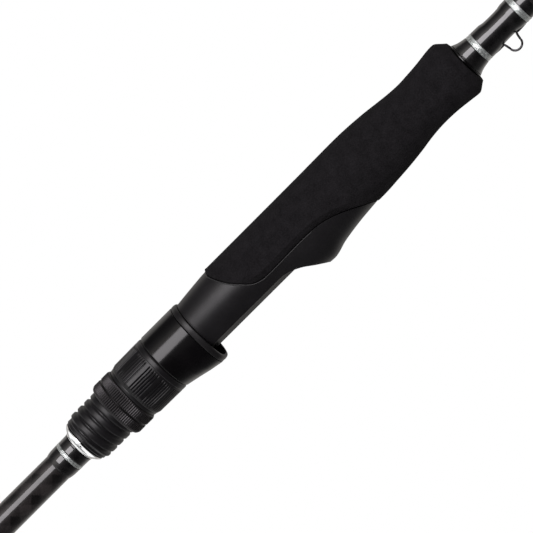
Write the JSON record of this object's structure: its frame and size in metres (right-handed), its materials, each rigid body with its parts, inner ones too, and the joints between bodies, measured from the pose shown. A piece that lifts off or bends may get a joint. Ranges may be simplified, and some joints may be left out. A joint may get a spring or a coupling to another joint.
{
  "type": "spinning rod",
  "caption": "Two-piece spinning fishing rod with foam grips, screw-locking reel seat, hook keeper and ringed line guides.",
  "frame": {"origin": "on the rod's axis at the middle of the reel seat's foot bed, where the hand holds the rod", "axes": "+X along the rod to its tip, -Z to the side that the reel and the guides hang on, XZ is the rod's plane of symmetry"},
  "size_m": [1.9871, 0.0268, 0.0481],
  "materials": {
    "carbon": "clear-coated woven carbon",
    "eva_foam": "matte closed-cell foam",
    "seat_soft_touch": "soft-touch satin",
    "gloss_black": "piano black",
    "nut_plastic": "satin moulded",
    "black_alloy": "black anodised, satin",
    "silver": "polished",
    "thread_and_epoxy": "thread under clear epoxy",
    "silver_thread": "metallic thread",
    "dark_steel": "dark plated wire",
    "ceramic": "polished dark ceramic",
    "rubber": "matte",
    "arbor": "rigid foam"
  },
  "bodies": {
    "butt_half": {"butt_section_blank": "carbon", "seat_body": "seat_soft_touch", "seat_arbor_rear": "arbor", "seat_arbor_middle": "arbor", "seat_arbor_front": "arbor", "foregrip": "eva_foam", "grip_front_check": "gloss_black", "seat_rear_check": "silver", "seat_rear_wrap": "thread_and_epoxy", "seat_rear_trim": "silver_thread", "keeper_wrap": "thread_and_epoxy", "keeper_trim_rear": "silver_thread", "keeper_trim_front": "silver_thread", "hook_keeper": "dark_steel", "rear_grip": "eva_foam", "rear_grip_check": "silver", "butt_trim_ring": "black_alloy", "butt_cap": "rubber", "ferrule_stop_wrap": "thread_and_epoxy", "guide_1_frame": "dark_steel", "guide_1_ring": "ceramic", "guide_1_front_wrap": "thread_and_epoxy", "guide_1_rear_wrap": "thread_and_epoxy"},
    "hood": {"movable_hood_shell": "gloss_black", "hood_insert": "seat_soft_touch"},
    "nut": {"lock_nut": "nut_plastic", "knurled_collar": "black_alloy"},
    "tip_half": {"tip_section_blank": "carbon", "ferrule_wrap": "thread_and_epoxy", "guide_2_frame": "dark_steel", "guide_2_ring": "ceramic", "guide_2_front_wrap": "thread_and_epoxy", "guide_2_rear_wrap": "thread_and_epoxy", "guide_3_frame": "dark_steel", "guide_3_ring": "ceramic", "guide_3_wrap": "thread_and_epoxy", "guide_4_frame": "dark_steel", "guide_4_ring": "ceramic", "guide_4_wrap": "thread_and_epoxy", "guide_5_frame": "dark_steel", "guide_5_ring": "ceramic", "guide_5_wrap": "thread_and_epoxy", "guide_6_frame": "dark_steel", "guide_6_ring": "ceramic", "guide_6_wrap": "thread_and_epoxy", "guide_7_frame": "dark_steel", "guide_7_ring": "ceramic", "guide_7_wrap": "thread_and_epoxy", "tip_top_frame": "dark_steel", "tip_top_ring": "ceramic"}
  },
  "joints": [
    {"name": "hood_slide", "type": "slide", "parent": "butt_half", "child": "hood", "axis": [1, 0, 0], "range_m": [-0.0131, 0]},
    {"name": "nut_turn", "type": "hinge", "parent": "hood", "child": "nut", "pos_m": [0, 0, 0], "axis": [1, 0, 0], "range_deg": [-1418, 0]},
    {"name": "ferrule_slide", "type": "slide", "parent": "butt_half", "child": "tip_half", "axis": [1, 0, 0], "range_m": [0, 0.08]}
  ],
  "couplings": [
    {"joint": "hood_slide", "follows": "nut_turn", "m_per_rad": 0.00052521}
  ]
}
